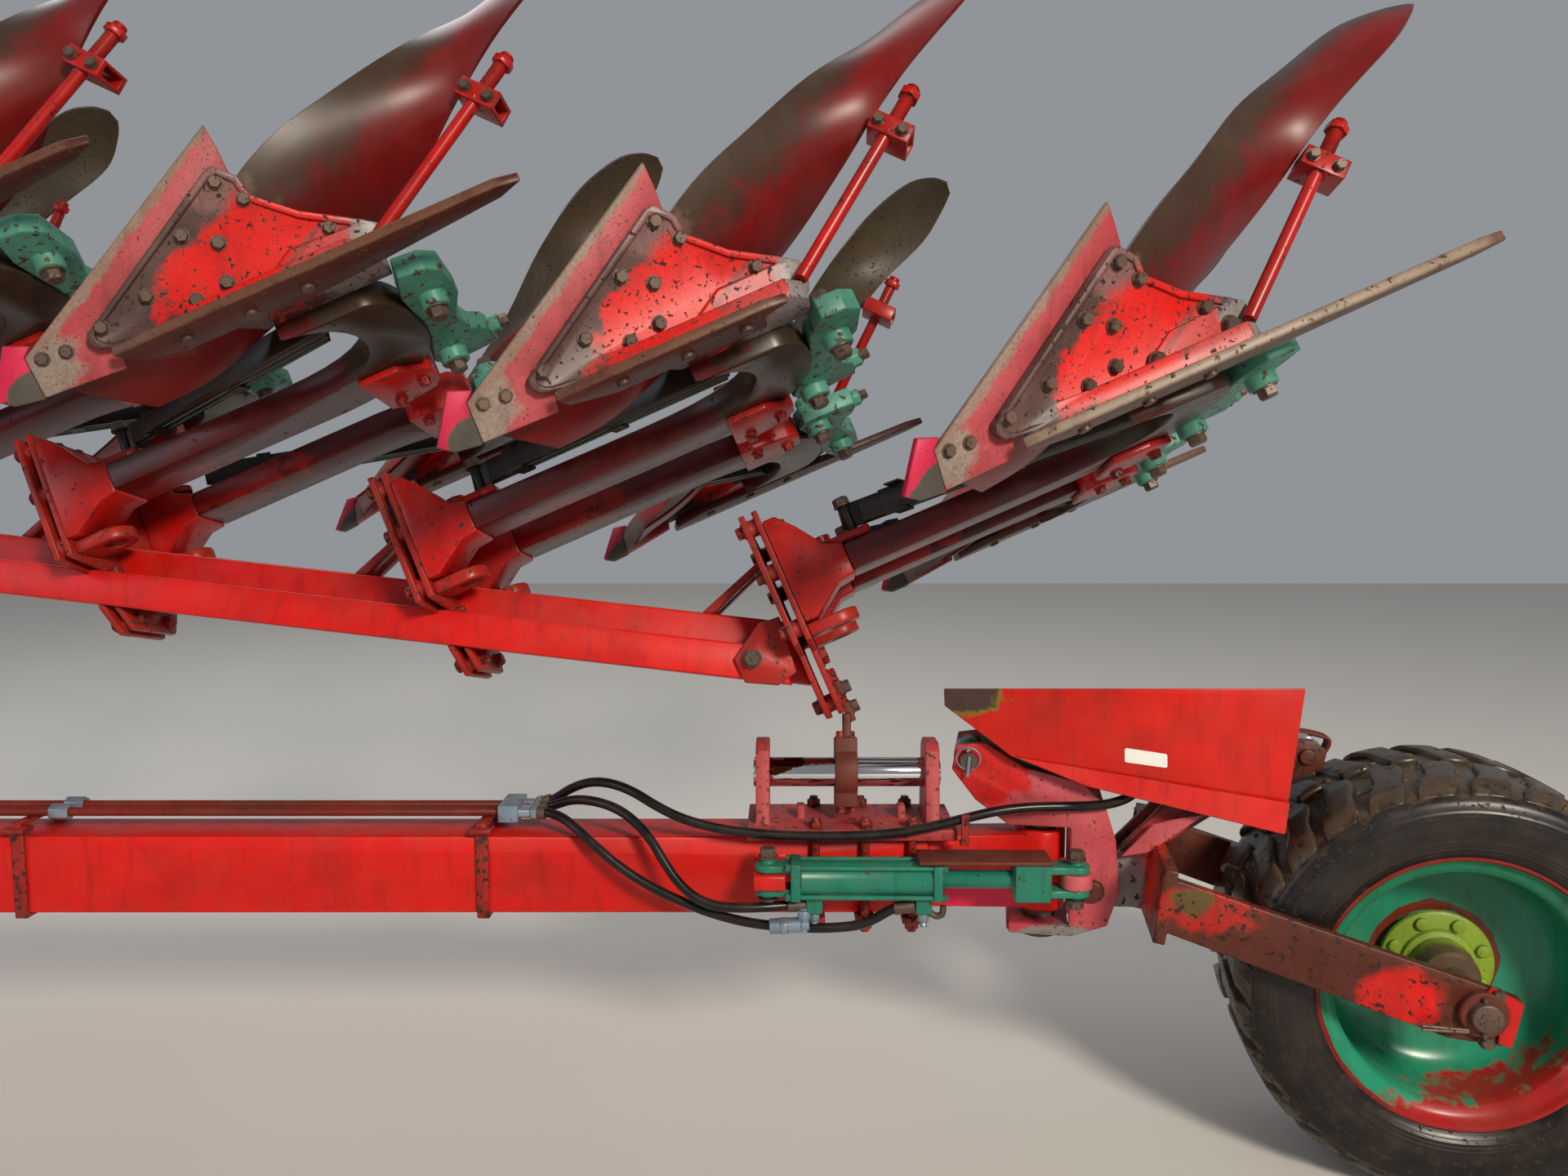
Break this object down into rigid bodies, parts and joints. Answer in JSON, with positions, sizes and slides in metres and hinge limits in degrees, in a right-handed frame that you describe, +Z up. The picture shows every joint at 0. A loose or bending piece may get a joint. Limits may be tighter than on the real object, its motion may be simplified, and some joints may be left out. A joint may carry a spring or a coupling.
{
  "type": "semi-mounted reversible moldboard plough",
  "caption": "Reversible moldboard plough on a long carriage beam with a steered rear wheel, frame turned half over for transport.",
  "frame": {"origin": "on the ground, below the middle of the plough's box", "axes": "+X to the rear along the carriage beam, +Y to the side of the far row of bodies, +Z up"},
  "size_m": [6.565, 1.818, 2.8462],
  "materials": {
    "frame_red": "sun-faded enamel paint",
    "faded_red": "faded, scratched enamel paint",
    "dark_red": "grimy enamel paint",
    "share_paint": "worn paint on steel",
    "point_paint": "fresh paint",
    "soil_steel": "soil-polished steel with rust film",
    "worn_steel": "scuffed steel",
    "black_steel": "black oxide and oil",
    "green_paint": "chipped turquoise enamel",
    "rusty_steel": "rusted steel",
    "bolt_steel": "dull zinc and rust",
    "zinc": "bright zinc",
    "chrome": "polished chrome",
    "hub_paint": "yellow-green enamel",
    "tyre_rubber": "rubber with dried mud",
    "hose_rubber": "smooth black rubber"
  },
  "bodies": {
    "carriage": {"carriage_beam": "frame_red", "beam_clamps": "dark_red", "hydraulic_pipes": "dark_red", "pipe_fittings": "zinc", "pivot_bracket": "frame_red", "bracket_bolts": "bolt_steel", "turnover_shaft": "chrome", "front_bearing": "dark_red", "rack_cylinder": "green_paint", "stand_sleeves": "dark_red", "hitch_pin": "bolt_steel", "king_pin": "bolt_steel", "hose_lift": "hose_rubber", "hose_steer_rear": "hose_rubber", "hose_steer_front": "hose_rubber"},
    "stand_left": {"stand_left": "bolt_steel"},
    "stand_right": {"stand_right": "bolt_steel"},
    "headstock": {"headstock": "frame_red"},
    "cross_shaft": {"cross_shaft": "worn_steel"},
    "plough_frame": {"turning_head": "frame_red", "main_beam": "frame_red", "width_rail": "frame_red", "station_brackets": "frame_red", "frame_braces": "frame_red", "strap_loops": "frame_red", "rear_link": "rusty_steel", "leg_heads": "frame_red", "legs_near": "dark_red", "legs_far": "dark_red", "frogs_near": "frame_red", "frogs_far": "frame_red", "shares_near": "share_paint", "shares_far": "share_paint", "points_near": "point_paint", "points_far": "point_paint", "moldboards_near": "soil_steel", "moldboards_far": "soil_steel", "landsides_near": "worn_steel", "landsides_far": "worn_steel", "stays_near": "frame_red", "stays_far": "frame_red", "springs_near": "black_steel", "springs_far": "black_steel", "clamps_near": "green_paint", "clamps_far": "green_paint"},
    "swivel": {"swivel_yoke": "faded_red"},
    "wheel_arm": {"wheel_fork": "rusty_steel", "axle": "bolt_steel", "cylinder_cover": "frame_red"},
    "wheel": {"rim": "green_paint", "hub": "hub_paint", "tyre": "tyre_rubber"},
    "steer_barrel": {"steer_barrel": "green_paint"},
    "steer_rod": {"steer_rod": "chrome", "steer_guard": "rusty_steel"},
    "lift_barrel": {"lift_barrel": "green_paint"},
    "lift_rod": {"lift_rod": "chrome"}
  },
  "joints": [
    {"name": "turnover", "type": "hinge", "parent": "carriage", "child": "plough_frame", "pos_m": [1.3525, -0.2883, 0.853], "axis": [1, 0, 0], "range_deg": [-78, 102]},
    {"name": "hitch_turn", "type": "hinge", "parent": "carriage", "child": "headstock", "pos_m": [-2.8975, -0.2883, 0.62], "axis": [0, 0, 1], "range_deg": [-50, 50]},
    {"name": "hitch_pitch", "type": "hinge", "parent": "headstock", "child": "cross_shaft", "pos_m": [-3.2075, -0.2883, 0.62], "axis": [0, 1, 0], "range_deg": [-20, 20]},
    {"name": "stand_left_slide", "type": "slide", "parent": "carriage", "child": "stand_left", "axis": [0, 0, 1], "range_m": [0, 0.35]},
    {"name": "stand_right_slide", "type": "slide", "parent": "carriage", "child": "stand_right", "axis": [0, 0, 1], "range_m": [0, 0.35]},
    {"name": "steering", "type": "hinge", "parent": "carriage", "child": "swivel", "pos_m": [1.9545, -0.2883, 0.6], "axis": [0, 0, 1], "range_deg": [-25, 45], "deforming": ["hose_steer_rear", "hose_steer_front"]},
    {"name": "wheel_lift", "type": "hinge", "parent": "swivel", "child": "wheel_arm", "pos_m": [2.06775, -0.30827, 0.6], "axis": [0.1736, 0.9848, 0], "range_deg": [-9, 6], "deforming": ["hose_lift"]},
    {"name": "wheel_spin", "type": "hinge", "parent": "wheel_arm", "child": "wheel", "pos_m": [2.81128, -0.43937, 0.46], "axis": [0.1736, 0.9848, 0], "continuous": true},
    {"name": "steer_barrel_pivot", "type": "hinge", "parent": "carriage", "child": "steer_barrel", "pos_m": [1.3175, -0.4533, 0.655], "axis": [0, 0, 1], "range_deg": [-2.23, 4.01]},
    {"name": "steer_rod_slide", "type": "slide", "parent": "steer_barrel", "child": "steer_rod", "axis": [0.9999, -0.0147, 0], "range_m": [-0.0689, 0.1239]},
    {"name": "lift_barrel_pivot", "type": "hinge", "parent": "swivel", "child": "lift_barrel", "pos_m": [1.79004, -0.2593, 0.892], "axis": [-0.1736, -0.9848, 0], "range_deg": [-3.94, 5.91]},
    {"name": "lift_rod_slide", "type": "slide", "parent": "lift_barrel", "child": "lift_rod", "axis": [0.9838, -0.1735, 0.0454], "range_m": [-0.0506, 0.0338]}
  ],
  "couplings": [
    {"joint": "steer_barrel_pivot", "follows": "steering", "ratio": 0.089},
    {"joint": "steer_rod_slide", "follows": "steering", "m_per_rad": 0.1575},
    {"joint": "lift_barrel_pivot", "follows": "wheel_lift", "ratio": -0.6555},
    {"joint": "lift_rod_slide", "follows": "wheel_lift", "m_per_rad": 0.321}
  ]
}
